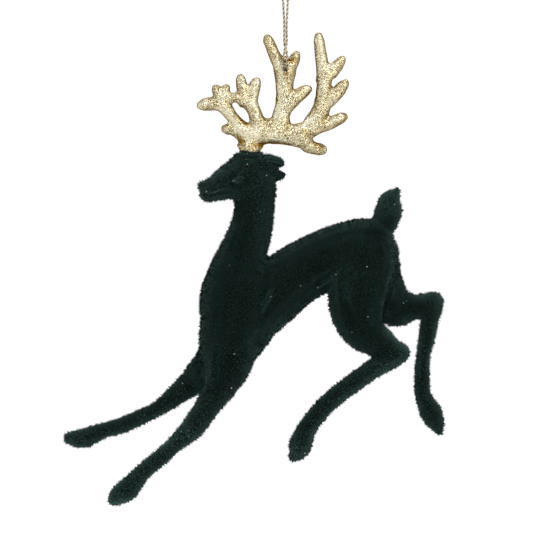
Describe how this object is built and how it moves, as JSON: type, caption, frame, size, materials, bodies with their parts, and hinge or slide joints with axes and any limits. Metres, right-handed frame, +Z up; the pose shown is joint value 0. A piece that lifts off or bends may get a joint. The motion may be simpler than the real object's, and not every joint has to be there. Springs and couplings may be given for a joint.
{
  "type": "hanging reindeer ornament",
  "caption": "Leaping deer ornament covered in dark green flock, with gold glitter antlers on its crown, hung from a loop of gold thread.",
  "frame": {"origin": "inside of the thread loop's top, where a twig or a hook bears", "axes": "+Z up, as it hangs; -X towards the nose; -Y towards a viewer who sees the nose on the left"},
  "size_m": [0.1146, 0.0196, 0.1761],
  "materials": {
    "flock": "dark green flock, matt with a teal sheen at its edges",
    "glitter": "pale gold glitter, sparkling",
    "thread": "twisted metallic gold thread"
  },
  "bodies": {
    "root": {"flocked_body": "flock", "glitter_antlers": "glitter", "hanging_cord": "thread", "cord_knot": "thread"}
  },
  "joints": []
}
